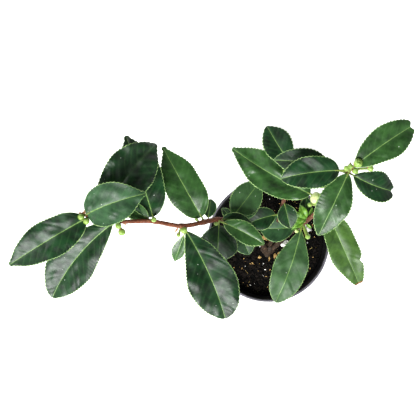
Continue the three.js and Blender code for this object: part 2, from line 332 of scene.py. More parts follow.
leafTints = {
    "deep": teaLeaf("tea leaf, waxed deep green", "#071f0b", "#103a17", 0.42),
    # painted shade: a shaded copy of the deep green, for a leaf that droops away from the key light
    "dark": teaLeaf("tea leaf, shaded blackish green", "#081f0b", "#143a19", 0.42),
    "mid": teaLeaf("tea leaf, waxed mid green", "#1e3b18", "#335a28", 0.36),
    "matte": teaLeaf("tea leaf, old matt green", "#294725", "#3c6035", 0.5),
    "grey": teaLeaf("tea leaf, bloomed grey green", "#1c3a20", "#335a35", 0.46),
    "warm": teaLeaf("tea leaf, sunned yellow green", "#2e4b1d", "#476a2a", 0.45),
}
underside = plainTissue("tea leaf underside, matt", "#557548", "#789a62", 0.62, 4)
midribGreen = plainTissue("leaf midrib, pale waxed", "#5f8442", "#7fa058", 0.42, 2)
marginGreen = plainTissue("leaf margin, thin and pale", "#4c7539", "#9dbb76", 0.5, 3)
driedEdge = plainTissue("leaf edge, dried brown", "#5d3b1e", "#8c6a3c", 0.8, 1.5)
petioleGreen = plainTissue("petiole, yellow green", "#5d7430", "#8a9c4a", 0.45, 3)
youngLeaf = plainTissue("flush leaf, bright soft green", "#3b6b1a", "#79a838", 0.42, 3)
budScale = plainTissue("flower bud scale, waxed", "#6f9438", "#a0bd62", 0.38, 2)
budPetal = plainTissue("petal tip in bud, cream", "#b4c878", "#dbe3a6", 0.45, 2)
budBract = plainTissue("dry bract, tan and pink", "#8c5e3e", "#c79a72", 0.7, 1)
reddishBark = teaBark("tea bark, reddish and thin", "#45200f", "#7d452b", "#9a7658")
groundBark = teaBark("tea bark at the foot, grey tan", "#2a1e15", "#5c4632", "#54442f")
leafMaterials = list(leafTints.values()) + [underside, midribGreen, marginGreen, driedEdge]
leafSlots = {name: i for i, name in enumerate(leafTints)}
print("materials made")


limbs = {
    "left_bough": {
        "route": [
            (-1, -9, 100), (-12, 3, 126), (-24, 14, 154), (-47, 21, 185),
            (-78, 16, 205), (-104, 20, 217), (-130, 20, 225), (-157, 25, 229),
        ],
        "radius": (2.5, 1.5),
        "joints": [0.3, 0.36, 0.4, 0.475, 0.53, 0.625, 0.74, 0.885, 0.95],
    },
    "right_bough": {
        "route": [(3, -8, 100), (14, 4, 122), (24, 14, 140), (36, 25, 165), (46, 42, 195), (58, 62, 233)],
        "radius": (2.6, 1.5),
        "joints": [0.32, 0.365, 0.39, 0.63, 0.66, 0.8, 0.965],
    },
    "middle_shoot": {
        "route": [(1, -5, 102), (4, 8, 130), (9, 34, 160), (16, 64, 191)],
        "radius": (2.0, 1.1),
        "joints": [0.51, 0.66, 0.85],
    },
}
curves = {name: splineThrough(limb["route"]) for name, limb in limbs.items()}


bark = {
    "ring": 0.7,      # spacing of the rings along a limb
    "sides": 20,
    "ridges": 0.16, "lumps": 0.14, "joint": 0.2, "lip": 0.12,   # heights as shares of the limb's radius
}


def barkRelief(radii, seed, scarAt):
    # lengthwise ridges, small lumps and a swollen ring at each leaf joint
    rings = len(radii)

    def relief(k, angle):
        share = k / (rings - 1)
        x, y = math.cos(angle), math.sin(angle)
        ridge = noiseAt(x * 3, y * 3, k * 0.05 + seed) * bark["ridges"]
        lump = noiseAt(x * 1.5, y * 1.5, k * 0.25 + seed * 3) * bark["lumps"]
        swell = sum(math.exp(-((share - at) / 0.011) ** 2) for at in scarAt)
        lip = sum(math.exp(-((share - at - 0.012) / 0.004) ** 2) for at in scarAt)
        return radii[k] * (ridge + lump + bark["joint"] * swell + bark["lip"] * lip)
    return relief


def growLimb(name, seed):
    limb, curve = limbs[name], curves[name]
    rings = int(np.linalg.norm(np.diff(curve, axis=0), axis=1).sum() / bark["ring"])
    path = np.array([placeAt(curve, i / (rings - 1)) for i in range(rings)])
    start, end = limb["radius"]
    radii = np.linspace(start, end, rings)
    radii[-3:] *= [0.85, 0.6, 0.25]
    points, faces = tubeAlong(path, radii, bark["sides"], barkRelief(radii, seed, limb["joints"]))
    piece = addPiece(name + "_bark", points * mm, faces, [reddishBark])
    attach(piece, "root")
    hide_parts(name)


for seed, name in enumerate(limbs):
    growLimb(name, seed * 7 + 1)

trunk = {
    "foot": (0, -9), "lean": (2, 3), "height": 13, "radius": 3.6, "flare": 0.75,
    "rings": 34, "sides": 40,
}


def growTrunk():
    # a short stem with a flared, buttressed foot and a rounded fork
    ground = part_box("trunk")[0].z / mm
    rings, sides = trunk["rings"], trunk["sides"]
    path = []
    for i in range(rings):
        t = i / (rings - 1)
        x, y = (foot + lean * t * t for foot, lean in zip(trunk["foot"], trunk["lean"]))
        path.append((x, y, ground + trunk["height"] * t))
    points = []
    for i, (x, y, z) in enumerate(path):
        t = i / (rings - 1)
        close = math.sqrt(max(0.0, 1 - max(0.0, (t - 0.72) / 0.28) ** 2)) * 0.9 + 0.1
        for j in range(sides):
            angle = 2 * math.pi * j / sides
            flare = trunk["flare"] * math.exp(-t * 5) * (1 + 0.3 * math.cos(4 * angle + 0.5))
            u, v = math.cos(angle), math.sin(angle)
            rough = noiseAt(u * 4, v * 4, t * 3) * 0.16 + noiseAt(u * 9, v * 9, t * 9) * 0.06
            radius = trunk["radius"] * (1 + flare + rough) * (1 - 0.12 * t) * close
            points.append((x + radius * u, y + radius * v, z))
    faces = ringFaces(rings, sides) + ringCaps(rings, sides)
    piece = addPiece("trunk_bark", np.array(points) * mm, faces, [groundBark])
    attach(piece, "root")
    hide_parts("trunk")


growTrunk()
print("trunk and boughs grown")


blade = {
    "thickness": 0.36,
    "ring": 0.75,        # spacing of the rings along a leaf
    "column": 1.05,      # spacing of the stations across a half
    "rib": 0.34,         # half width of the pale midrib at the base
    "margin": 0.58,      # width of the pale margin
    "tooth": 2.7,        # spacing of the teeth
    "toothDepth": 0.85,
    "veinSpacing": 7.5,
    "roundness": 0.62,   # of the base; a leaf's "tip" is the same for its far end, 1 being a straight point
    "blunt": 0.075,      # radius of the very tip, as a share of the width
    "veinSlant": 0.75,   # how far a side vein runs forward for each mm outward
    "groove": 0.22,      # depth of the groove over the midrib
    "ridge": 0.5,        # the midrib's height under the blade, at the base
    "wave": 8.5,         # length of a margin's wave, over two pi
    "rumpleAlong": 11,   # size of the rumples
    "rumpleAcross": 8,
}

leafKeys = ("at", "petiole", "length", "width", "heading", "rise", "droop")
usualLeaf = {
    "bend": 0, "widest": 0.5, "tip": 0.75, "fold": 12, "roll": 0, "cut": 0.004, "wavy": 1.0, "rumple": 0.8
}

# At, petiole, length, width, heading, rise, droop: the share of the limb where a leaf sits, its
# measures, its heading in plan from +X, its rise at the base and its droop by the tip.
foliage = {
    "right_end_leaves": ("right_bough", [
        (0.99, 3, 58, 27, -114, 8, 42, {"bend": 4, "tip": 0.72, "tint": "mid", "fold": 14, "roll": -3}),
        (1, 3, 59, 29, 35, 16, 32, {"bend": -10, "widest": 0.57, "tip": 0.62, "tint": "mid",
            "fold": 12, "cut": 0.03, "notch": 2, "roll": 6}),
        (0.97, 5, 39, 25, -20, 0, 32, {"bend": 20, "widest": 0.55, "tip": 0.62, "tint": "deep",
            "fold": 12, "cut": 0.035, "notch": 2.5}),
        (0.99, 9, 49, 27, 188, 18, 38, {"bend": 14, "widest": 0.45, "tip": 0.7, "tint": "deep",
            "fold": 11}),
        (0.965, 12, 50, 24, 171, -4, 20, {"bend": 14, "tip": 0.8, "tint": "deep", "fold": 12,
            "roll": -8}),
    ]),
    "left_end_leaves": ("left_bough", [
        (0.98, 4, 75, 32, -149, 9, 30, {"bend": 4, "widest": 0.42, "tip": 0.82, "tint": "deep",
            "fold": 17}),
        (1, 2, 53, 35, 19, 26, 36, {"bend": -14, "widest": 0.4, "tip": 0.95, "tint": "grey", "fold": 10,
            "rumple": 1.4}),
        (0.885, 3, 86, 38, -130, -8, 14, {"bend": 28, "widest": 0.56, "tip": 0.64, "tint": "deep",
            "fold": 12}),
        (0.95, 5, 75, 40, 52, 4, 32, {"bend": -12, "tip": 0.8, "tint": "dark", "fold": 13, "roll": 8,
            "rumple": 2.2, "wavy": 1.8, "slots": {"rib": 1}}),   # painted shade: its midrib takes the shaded blackish tint of its blade
    ]),
    "front_left_leaves": ("left_bough", [
        (0.625, 5, 83, 41, -66, 14, 36, {"bend": -18, "widest": 0.6, "tip": 0.62, "tint": "deep",
            "fold": 12}),
        (0.605, 9, 27, 11, -110, -20, 12, {"widest": 0.6, "tip": 0.8, "tint": "mid", "fold": 12}),
    ]),
    "left_upper_leaves": ("left_bough", [
        (0.53, 5, 69, 32, 119, 20, 36, {"bend": -2, "widest": 0.42, "tip": 0.95, "tint": "mid",
            "fold": 6, "roll": 7}),
        (0.515, 3, 18, 12, 82, -15, 20, {"tint": "deep", "fold": 10}),
    ]),
    "rim_left_leaves": ("left_bough", [
        (0.475, 7, 40, 18, -28, 18, 36, {"bend": -12, "tint": "mid", "fold": 12}),
        (0.465, 4, 27, 13, -8, 0, 26, {"bend": -20, "widest": 0.4, "tip": 0.8, "tint": "deep", "fold": 10}),
        (0.46, 5, 36, 34, -92, -18, 16, {"tip": 0.62, "tint": "deep", "fold": 10}),
    ]),
    "left_back_leaves": ("left_bough", [
        (0.74, 4, 72, 37, 109, 0, 12, {"bend": 6, "widest": 0.43, "tip": 0.9, "tint": "deep", "fold": 9}),
        (0.745, 4, 26, 15, 150, 4, 26, {"tint": "mid", "fold": 10}),
    ]),
    "low_left_leaves": ("left_bough", [
        (0.4, 5, 37, 27, 52, 8, 26, {"widest": 0.52, "tip": 0.64, "tint": "matte", "fold": 8}),
        (0.36, 10, 22, 17, -66, 0, 30, {"tip": 0.7, "tint": "grey", "fold": 10}),
        (0.345, 7, 19, 8, 38, -14, 20, {"tint": "grey", "fold": 10}),
        (0.345, 5, 15, 8, 135, -8, 20, {"tint": "deep", "fold": 10}),
    ]),
    "right_middle_leaves": ("right_bough", [
        (0.63, 4, 75, 27, -65, 6, 30, {"bend": 2, "tip": 0.62, "tint": "warm", "fold": 8,
            "bite": (0.72, 2.6), "dry": 0.975, "cut": 0.03}),
        (0.66, 14, 79, 33, 149, 2, 22, {"bend": -14, "widest": 0.45, "tip": 0.85, "tint": "mid",
            "fold": 12, "rumple": 1.5, "wavy": 1.5}),
    ]),
    "centre_leaves": ("middle_shoot", [
        (0.51, 4, 29, 21, 198, 14, 28, {"bend": 16, "tint": "deep", "fold": 16}),
        (0.66, 3, 22, 18, -76, 8, 26, {"tip": 0.7, "tint": "deep", "fold": 10}),
    ]),
    "right_base_leaves": ("right_bough", [
        (0.32, 4, 31, 24, 182, 14, 30, {"bend": -14, "tip": 0.64, "tint": "grey", "fold": 14}),
        (0.365, 6, 70, 31, -109, 14, 34, {"bend": -12, "widest": 0.58, "tip": 0.64, "tint": "matte",
            "fold": 8}),
        (0.39, 5, 18, 11, 86, 14, 24, {"tint": "deep", "fold": 10}),
    ]),
    "middle_top_leaf": ("middle_shoot", [
        (1, 5, 39, 25, 121, 4, 26, {"bend": -6, "tip": 0.66, "tint": "deep", "fold": 13}),
    ]),
}


def leafBase(leaf, curve):
    root = placeAt(curve, leaf["at"])
    return root + leaf["petiole"] * aim(leaf["heading"] - leaf["bend"] / 2, leaf["rise"])


def growBlade(leaf, base, rng, batch, topSlot, slots):
    # One closed leaf: an upper and a lower skin on the same grid, joined round the toothed margin
    length, fold = leaf["length"], math.radians(leaf["fold"])
    rings = max(24, int(length / blade["ring"]))
    s = np.linspace(0, 1, rings + 1)
    heading = np.radians(leaf["heading"] + leaf["bend"] * (s - 0.5))
    pitch = np.radians(leaf["rise"] - leaf["droop"] * s)
    tangent = np.stack([np.cos(heading) * np.cos(pitch), np.sin(heading) * np.cos(pitch), np.sin(pitch)], 1)
    side = np.stack([-np.sin(heading), np.cos(heading), 0 * s], 1)
    top = np.cross(tangent, side)
    roll = math.radians(leaf["roll"])
    side, top = side * math.cos(roll) + top * math.sin(roll), top * math.cos(roll) - side * math.sin(roll)
    spine = base + np.concatenate(
        [[np.zeros(3)], np.cumsum((tangent[1:] + tangent[:-1]) / 2, axis=0) * length / rings]
    )

    # outline: a smooth oval with forward-pointing teeth
    cut = leaf["cut"]
    bulge = np.sin(math.pi * (s * (1 - cut)) ** (math.log(0.5) / math.log(leaf["widest"])))
    toTip = np.clip((s - 0.5) / 0.5, 0, 1)
    power = blade["roundness"] + (leaf["tip"] - blade["roundness"]) * toTip ** 2 * (3 - 2 * toTip)
    half = leaf["width"] / 2 * np.maximum(bulge, 0) ** power
    # the very tip is rounded off
    blunt = blade["blunt"] * leaf["width"]
    past = np.clip((s - 1) * length + blunt, 0, blunt)
    half = np.maximum(half, np.where(past > 0, np.sqrt(np.maximum(blunt ** 2 - past ** 2, 0.1)), 0))
    half = np.maximum(half, 0.35)
    tooth = min(blade["tooth"], length / 12)
    phase = rng.random()
    halves = []
    for hand in (1, -1):
        beat = (s * length / tooth + phase * hand) % 1
        saw = np.where(beat < 0.72, beat / 0.72, (1 - beat) / 0.28)
        fade = np.clip((s - 0.12) / 0.12, 0, 1) * np.clip((1 - s) / 0.04, 0, 1)
        wave = np.sin(s * length / 4.6 + rng.uniform(0, 6)) * 0.3 + np.sin(s * 8 + rng.uniform(0, 6)) * 0.5
        wave = wave * fade * min(1, length / 60)
        width = half + fade * (saw - 0.6) * blade["toothDepth"] * min(1, length / 40) + wave
        if hand == 1 and "bite" in leaf:
            where, depth = leaf["bite"]
            width = width - depth * np.exp(-((s - where) / 0.035) ** 2)
        halves.append(np.maximum(width, 0.45))

    rib = np.minimum(blade["rib"] * (1 - 0.7 * s) * min(1, length / 45) + 0.06, half * 0.35)
    count = max(5, round(leaf["width"] / 2 / blade["column"]))
    columns = []   # (signed distance across, share of the half width) for every ring
    for hand, width in ((-1, halves[1]), (1, halves[0])):
        inner = np.maximum(width - blade["margin"], width * 0.7)
        stations = [rib + (inner - rib) * (i / count) ** 0.9 for i in range(count + 1)] + [width]
        for station in stations:
            columns.append((hand * station, station / width))
    left = columns[:count + 2][::-1]
    right = columns[count + 2:]
    columns = left + [(0 * s, 0 * s)] + right
    distance = np.stack([c[0] for c in columns], 1)
    share = np.stack([c[1] for c in columns], 1)
    wide = np.abs(distance)

    # relief: fold along the midrib, swelling between sunken side veins, wavy margins
    along = (s * length)[:, None]
    hand = np.sign(distance)
    spacing = max(3.2, blade["veinSpacing"] * min(1, length / 60))
    run = (along - wide * blade["veinSlant"] - 0.02 * wide ** 2 + hand * spacing * 0.22) / spacing
    valley = np.abs(np.sin(math.pi * run))
    body = np.sin(math.pi * np.clip(share, 0, 1)) ** 0.6 * np.clip(half / 6, 0, 1)[:, None]
    rise = wide * math.tan(fold) - 0.45 * math.tan(fold) * wide * share ** 2
    patches = np.sin(run * 1.9 + rng.uniform(0, 6)) * np.sin(run * 0.83 + hand * 2 + rng.uniform(0, 6))
    strength = 0.04 + 0.5 * np.clip(patches, 0, 1)
    rise = rise + strength * body * (valley ** 0.8 - 0.6) * min(1, length / 50)
    rise = rise - blade["groove"] * np.exp(-(wide / 0.8) ** 2)
    ripple = rng.uniform(0, 6)
    waves = np.sin(along / blade["wave"] + ripple + hand * 1.3) * np.clip(half / 10, 0, 1)[:, None]
    rise = rise + leaf["wavy"] * share ** 2 * waves
    rumple = leaf["rumple"] * min(1, length / 50)
    seed = rng.uniform(0, 90)
    ahead, across = blade["rumpleAlong"], blade["rumpleAcross"]
    field = [
        [noiseAt(a / ahead, d / across, seed) for d in row] for a, row in zip(along[:, 0], distance)
    ]
    rise = rise + rumple * 1.6 * np.array(field)
    rise = rise * np.clip(s * 12, 0, 1)[:, None]

    nearTip = np.exp(-((1 - s) / 0.05) ** 2)[:, None]
    pull = leaf.get("notch", 0) * nearTip * np.exp(-(distance / (leaf["width"] * 0.1)) ** 2)
    upper = spine[:, None, :] + side[:, None, :] * distance[..., None] + top[:, None, :] * rise[..., None]
    upper = upper - tangent[:, None, :] * pull[..., None]
    normal = unit(np.cross(np.gradient(upper, axis=0), np.gradient(upper, axis=1)))
    ridge = blade["ridge"] * np.exp(-(wide / 0.7) ** 2) * (1 - 0.75 * s)[:, None]
    ridge = ridge + 0.12 * np.exp(-(valley / 0.25) ** 2) * body
    thick = blade["thickness"] * (1 - 0.55 * share ** 6) + ridge
    lower = upper - normal * thick[..., None]

    rows, cols = distance.shape
    vein = np.exp(-(valley / 0.24) ** 2) * body * 0.13 + 0.16 * np.exp(-(wide / 1.3) ** 2)
    points = np.concatenate([upper.reshape(-1, 3), lower.reshape(-1, 3)])
    offset = rows * cols
    index = np.arange(offset).reshape(rows, cols)
    faces, marks = [], []
    ribColumns = {count + 1, count + 2}
    for i in range(rows - 1):
        dried = "dry" in leaf and s[i] > leaf["dry"]
        for j in range(cols - 1):
            a, b, c, d = index[i, j], index[i, j + 1], index[i + 1, j + 1], index[i + 1, j]
            faces.append((a, d, c, b))
            if dried:
                marks.append(slots["dry"])
            elif j in ribColumns:
                marks.append(slots["rib"])
            elif j in (0, cols - 2):
                marks.append(slots["margin"])
            else:
                marks.append(topSlot)
            faces.append((a + offset, b + offset, c + offset, d + offset))
            marks.append(slots["dry"] if dried else slots["under"])
    for i in range(rows - 1):
        for j, flip in ((0, False), (cols - 1, True)):
            a, d = index[i, j], index[i + 1, j]
            face = (a, a + offset, d + offset, d)
            faces.append(face[::-1] if flip else face)
            marks.append(slots["margin"])
    for j in range(cols - 1):
        for i, flip in ((0, False), (rows - 1, True)):
            a, b = index[i, j], index[i, j + 1]
            face = (a, b, b + offset, a + offset)
            faces.append(face[::-1] if flip else face)
            marks.append(slots["margin"])
    batch.add(points, faces, marks, np.concatenate([vein.ravel(), 0 * vein.ravel()]))
    return spine


# the slots after the six tints
slotsOnLeaf = {part: len(leafTints) + i for i, part in enumerate(("under", "rib", "margin", "dry"))}
petiole = {
    "sides": 12, "steps": 16,
    "tuck": 4,        # how far its end runs on under the midrib
    "sag": 0.6,
    "taper": [1.5, 1.0, 0.85, 0.7, 0.3],   # radii at the shares below
    "shares": [0, 0.15, 0.6, 0.85, 1],
}
petioles = Batch()
for number, (node, (limb, rows)) in enumerate(foliage.items()):
    batch = Batch()
    curve = curves[limb]
    rng = random.Random(100 + number)
    for *measures, special in rows:
        leaf = {**usualLeaf, **dict(zip(leafKeys, measures)), **special}
        base = leafBase(leaf, curve)
        slots = {**slotsOnLeaf, **leaf.get("slots", {})}
        growBlade(leaf, base, rng, batch, leafSlots[leaf["tint"]], slots)
        # petiole: from the bough, curving out, then dying away under the midrib
        root = placeAt(curve, leaf["at"])
        outward = aim(leaf["heading"] - leaf["bend"] / 2, leaf["rise"])
        under = base + outward * petiole["tuck"] - np.array([0, 0, 0.5])
        sag = root + outward * leaf["petiole"] * 0.45 - np.array([0, 0, petiole["sag"]])
        path = splineThrough([root, sag, base - np.array([0, 0, 0.35]), under], petiole["steps"])
        scale = min(1, leaf["length"] / 50) * 0.55 + 0.45
        taper = np.interp(np.linspace(0, 1, len(path)), petiole["shares"], petiole["taper"])
        points, faces = tubeAlong(path, taper * scale, petiole["sides"])
        petioles.add(points, faces)
    piece = batch.piece(node + "_blades", leafMaterials, "vein")
    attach(piece, "root")
    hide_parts(node)
piece = petioles.piece("petioles", [petioleGreen])
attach(piece, "root")
print("leaves grown")


# Buds: share of the limb, heading, rise, stalk's length, bud's radius
budKeys = ("at", "heading", "rise", "stalk", "radius")
buds = {
    "left_bough": [
        (0.985, -108, 20, 3.2, 2.4, {}),
        (1.0, -150, 40, 2.0, 2.4, {}),
        (0.885, -58, 10, 3.0, 2.4, {}),
        (0.875, -73, -10, 7.6, 2.8, {}),
        (0.74, 94, 60, 2.2, 2.1, {}),
        (0.62, -86, 20, 2.2, 2.6, {}),
        (0.63, -108, -12, 7.2, 1.7, {}),
        (0.55, 135, 15, 3.6, 1.3, {}),
        (0.475, -92, 25, 2.6, 1.7, {}),
    ],
    "right_bough": [
        (0.66, 167, 10, 5.0, 5.0, {"petal": True}),
        (0.62, -178, 5, 10.0, 1.8, {}),
        (0.36, -126, 15, 7.2, 1.8, {"petal": True}),
        (0.37, -71, 10, 11.5, 2.2, {"thick": 1.5}),
        (1.0, 42, 30, 6.4, 3.3, {}),
        (1.0, -19, 20, 2.6, 2.4, {}),
        (1.0, 166, 30, 3.0, 2.0, {}),
        (1.0, 103, 50, 2.6, 2.0, {}),
        (1.0, 3, 6, 14.5, 2.4, {}),
        (0.8, 173, 5, 10.0, 1.7, {}),
    ],
    "middle_shoot": [(0.98, -173, 5, 6.0, 1.7, {})],
}
budShape = {
    "rings": 18, "sides": 24,
    "stretch": 1.08,      # half its length over its radius
    "scales": 5, "dryScales": 2,
    "scaleTurn": 0.85,    # half the turn that a scale spans, in radians
    "scaleRows": 8, "scaleColumns": 10,
    "foot": 0.12,         # where its scales begin, in radians round from its foot
    "narrowing": 0.06,    # of the half at its foot; the far half is wider by as much
}


def growBud(curve, bud, rng, batch):
    # an egg of petals held by overlapping scales, on a short curved stalk
    root = placeAt(curve, bud["at"])
    way = aim(bud["heading"], bud["rise"])
    radius, petal = bud["radius"], "petal" in bud
    stretch, narrowing = budShape["stretch"], budShape["narrowing"]
    tip = root + way * (bud["stalk"] + radius * 0.6) + np.array([0, 0, 0.4])
    halfway = root + way * bud["stalk"] * 0.5 - np.array([0, 0, 0.5])
    path = splineThrough([root, halfway, root + way * bud["stalk"]], 10)
    thick = bud.get("thick", 0.75 + radius * 0.08)
    points, faces = tubeAlong(path, np.linspace(thick, thick * 1.15, 11), 10)
    batch.add(points, faces, 0)
    axis = unit(way + np.array([0, 0, 0.35]))
    across = unit(np.cross(axis, [0.3, -0.9, 0.2]))
    other = np.cross(axis, across)

    # the round body, closed at both poles
    rows, sides = budShape["rings"], budShape["sides"]
    body, faces = [tip - axis * radius * stretch], []
    for i in range(1, rows):
        v = math.pi * i / rows
        for j in range(sides):
            turn = 2 * math.pi * j / sides
            r = radius * math.sin(v) * (1 - narrowing * math.cos(v)) * (1 + 0.02 * math.cos(5 * turn))
            around = across * math.cos(turn) + other * math.sin(turn)
            body.append(tip - axis * radius * stretch * math.cos(v) + r * around)
    body.append(tip + axis * radius * 1.12)
    last = len(body) - 1
    for j in range(sides):
        faces.append((0, 1 + (j + 1) % sides, 1 + j))
        faces.append((last, last - sides + j, last - sides + (j + 1) % sides))
    faces += ringFaces(rows - 1, sides, 1)
    batch.add(body, faces, 2 if petal else 1)

    high, wide, foot = budShape["scaleRows"], budShape["scaleColumns"], budShape["foot"]

    def scaleSkin(turn, reach, grow):
        # a pointed scale's skin, from the bud's foot up to an angle from it
        grid = []
        for i in range(high + 1):
            for j in range(wide + 1):
                u = 2 * j / wide - 1
                spread = turn + budShape["scaleTurn"] * u
                v = foot + (reach - foot) * (i / high) * math.sqrt(1 - u ** 4 * 0.85)
                r = radius * (1 + grow) * math.sin(v) * (1 - narrowing * math.cos(v))
                h = -radius * (1 + grow) * math.cos(v) * stretch
                grid.append(tip + axis * h + across * r * math.cos(spread) + other * r * math.sin(spread))
        return grid

    # five scales and then two short dry ones at the foot, each a thin two-sided shell over the body
    step = wide + 1
    skin = [
        (a, a + 1, a + step + 1, a + step) for i in range(high) for a in range(i * step, i * step + wide)
    ]
    rim = [i * step for i in range(high + 1)] + [high * step + j for j in range(1, step)]
    rim += [i * step + wide for i in range(high - 1, -1, -1)] + list(range(wide - 1, 0, -1))
    start = rng.uniform(0, 6)
    for k in range(budShape["scales"] + budShape["dryScales"]):
        turn = start + k * 2 * math.pi / 5
        dry = k >= budShape["scales"]
        if dry:
            reach = math.pi * 0.36
        else:
            reach = math.pi * (0.62 if petal else 0.8 - 0.05 * (k % 2))
        outer = scaleSkin(turn, reach, 0.05 + 0.012 * k)
        inner = scaleSkin(turn, reach, 0.012 * k)
        count = len(outer)
        closed = skin + [tuple(i + count for i in face[::-1]) for face in skin]
        closed += [(a, b, b + count, a + count) for a, b in zip(rim, rim[1:] + rim[:1])]
        batch.add(outer + inner, closed, 3 if dry else 1)


budBatch = Batch()
rng = random.Random(5)
for limb, rows in buds.items():
    for *measures, special in rows:
        growBud(curves[limb], {**dict(zip(budKeys, measures)), **special}, rng, budBatch)
piece = budBatch.piece("flower_buds", [petioleGreen, budScale, budPetal, budBract])
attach(piece, "root")

# Dry bracts that have opened at the tips and joints: share of the limb, heading, rise, distance
# from its middle, length, width
bractKeys = ("at", "heading", "rise", "reach", "length", "width")
bracts = {
    "left_bough": [
        (1.0, 154, 20, 1.8, 3.4, 2.4),
        (1.0, 77, 25, 1.56, 4.0, 2.0),
        (1.0, 110, 40, 0.96, 3.0, 2.0),
        (0.86, -40, 15, 0.96, 3.4, 1.8),
        (0.735, 120, 20, 1.32, 3.2, 1.6),
        (0.64, -120, 0, 2.4, 4.6, 1.8),
    ],
    "right_bough": [
        (1.0, 80, 60, 1.08, 3.0, 2.2),
        (1.0, 20, 55, 1.08, 2.8, 2.0),
        (1.0, 92, 20, 3.0, 3.0, 1.8),
        (0.6, 150, 30, 1.44, 4.0, 1.8),
    ],
    "middle_shoot": [(0.97, 150, 10, 1.8, 7.0, 2.6)],
}
# Young leaves at the right bough's lower joint: the same as for a leaf, and the bend
flushKeys = ("at", "reach", "length", "width", "heading", "rise", "droop", "bend")
flush = [
    (0.42, 3, 18, 9, 168, 52, 110, 30),
    (0.425, 3, 14, 7, 118, 50, 95, -24),
    (0.415, 4, 11, 5, 208, 40, 60, 20),
    (0.36, 3, 8, 3.6, -150, 20, 50, 0),
    (0.43, 3, 9, 3.4, 70, 35, 60, 0),
    (0.38, 3, 6, 2.8, -36, 30, 60, 0),
]
smallBatch = Batch()
rng = random.Random(21)
for limb, rows in bracts.items():
    slot = 2 if limb == "middle_shoot" else 0   # the thin shoot's bract is still reddish
    for measures in rows:
        bract = dict(zip(bractKeys, measures))
        root = placeAt(curves[limb], bract["at"])
        base = root + aim(bract["heading"], bract["rise"]) * bract["reach"]
        shape = {**usualLeaf, **bract, "droop": 40, "widest": 0.4, "fold": 25, "wavy": 0.1}
        growBlade(shape, base, rng, smallBatch, slot, dict.fromkeys(slotsOnLeaf, slot))
for measures in flush:
    leaf = {**usualLeaf, **dict(zip(flushKeys, measures)), "fold": 20, "wavy": 0.2}
    way = aim(leaf["heading"], leaf["rise"])
    root = placeAt(curves["right_bough"], leaf["at"])
    base = root + way * leaf["reach"]
    growBlade(leaf, base, rng, smallBatch, 1, dict.fromkeys(slotsOnLeaf, 1))
    path = [root + way * leaf["reach"] * k / 4 for k in range(5)]
    points, faces = tubeAlong(path, [0.8, 0.75, 0.7, 0.65, 0.6], 8)
    smallBatch.add(points, faces, 1)
piece = smallBatch.piece("bracts_and_flush", [budBract, youngLeaf, reddishBark], "vein")
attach(piece, "root")
print("buds and flush grown")


pot = {
    "wall": 1.3, "floor": 1.8, "lipDepth": 9, "lipStep": 1.6, "footRadius": 40,
    "holes": 6, "holeWidth": 9, "holeHeight": 7, "holeDepth": 12, "around": 216,
    "paintedHighlight": 3.5,   # height of the painted highlight on the lip
}


def turnPot():
    low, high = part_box("pot")
    height, rim = (high.z - low.z) / mm, (high.x - low.x) / 2 / mm
    top = rim - pot["lipStep"]
    band = height - pot["lipDepth"]

    def wallAt(z):
        return pot["footRadius"] + (top - pot["footRadius"]) * z / height

    inside = [(wallAt(z) - pot["wall"], z) for z in np.linspace(pot["floor"] + 2, height - 1.0, 30)]
    outside = [(wallAt(z), z) for z in np.concatenate([np.linspace(band, 11, 22), np.linspace(10, 2, 9)])]
    floorTop = [(r, pot["floor"]) for r in (0.001, 12, 24, 33, 37.2)]
    floorTop.append((wallAt(pot["floor"]) - pot["wall"] - 0.5, pot["floor"] + 0.5))
    # rolled lip: over the top, down the outside of the band and back under it
    lipTop = [
        (top - 0.95, height - 0.3), (top - 0.4, height), (rim - 0.75, height), (rim - 0.2, height - 0.3),
        (rim, height - 1), (rim, height - 1.6),
    ]
    lipSide = [
        (rim - 0.15, height - 3), (rim - 0.35, height - 5), (rim - 0.5, band + 1.4),
        (rim - 0.65, band + 0.7), (rim - 1.0, band + 0.45), (wallAt(band) + 0.15, band + 0.3),
    ]
    foot = [(40.0, 0.9), (39.7, 0.3), (39.1, 0), (37, 0), (33, 0), (24, 0), (12, 0), (0.001, 0)]
    profile = floorTop + inside + lipTop + lipSide + outside + foot
    around = pot["around"]
    points = []
    for r, z in profile:
        for j in range(around):
            angle = 2 * math.pi * j / around
            points.append((r * math.cos(angle), r * math.sin(angle), z))
    faces = ringFaces(len(profile), around, inward=True)
    # painted highlight: the lip's top and outside are coloured light grey for the light that the rim catches
    lip = [z > height - pot["paintedHighlight"] and r > rim - 2.2 for r, z in profile[:-1]]
    marks = [int(paintedHighlight) for paintedHighlight in lip for _ in range(around)]
    plastics = [
        mouldedPolypropylene("moulded black polypropylene", "#09090a", "#141416"),
        # the second plastic is a painted highlight, light grey, for the lip
        mouldedPolypropylene("black polypropylene, painted lip highlight", "#46444b", "#6e6b75"),
    ]
    piece = addPiece("pot_moulding", np.array(points) * mm, faces, plastics, marks)
    # drainage holes round the foot, cut through wall and floor corner
    for k in range(pot["holes"]):
        angle = 2 * math.pi * k / pot["holes"]
        bpy.ops.mesh.primitive_cube_add(size=1)
        cutter = bpy.context.object
        cutter.dimensions = (pot["holeDepth"] * mm, pot["holeWidth"] * mm, pot["holeHeight"] * mm)
        out, up = pot["footRadius"] * mm, (pot["floor"] + pot["holeHeight"] / 2) * mm
        cutter.location = (out * math.cos(angle), out * math.sin(angle), up)
        cutter.rotation_euler = (0, 0, angle)
        bevel = cutter.modifiers.new("round", "BEVEL")
        bevel.width, bevel.segments = 1.5 * mm, 4
        cutting = piece.modifiers.new("hole", "BOOLEAN")
        cutting.object, cutting.operation, cutting.solver = cutter, "DIFFERENCE", "EXACT"
        bpy.context.view_layer.objects.active = piece
        bpy.ops.object.modifier_apply(modifier="hole")
        bpy.data.objects.remove(cutter)
    setSmooth(piece.data, True)
    edges = piece.modifiers.new("edges", "WEIGHTED_NORMAL")
    edges.keep_sharp = True
    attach(piece, "root")
    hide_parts("pot")


turnPot()
print("pot turned")


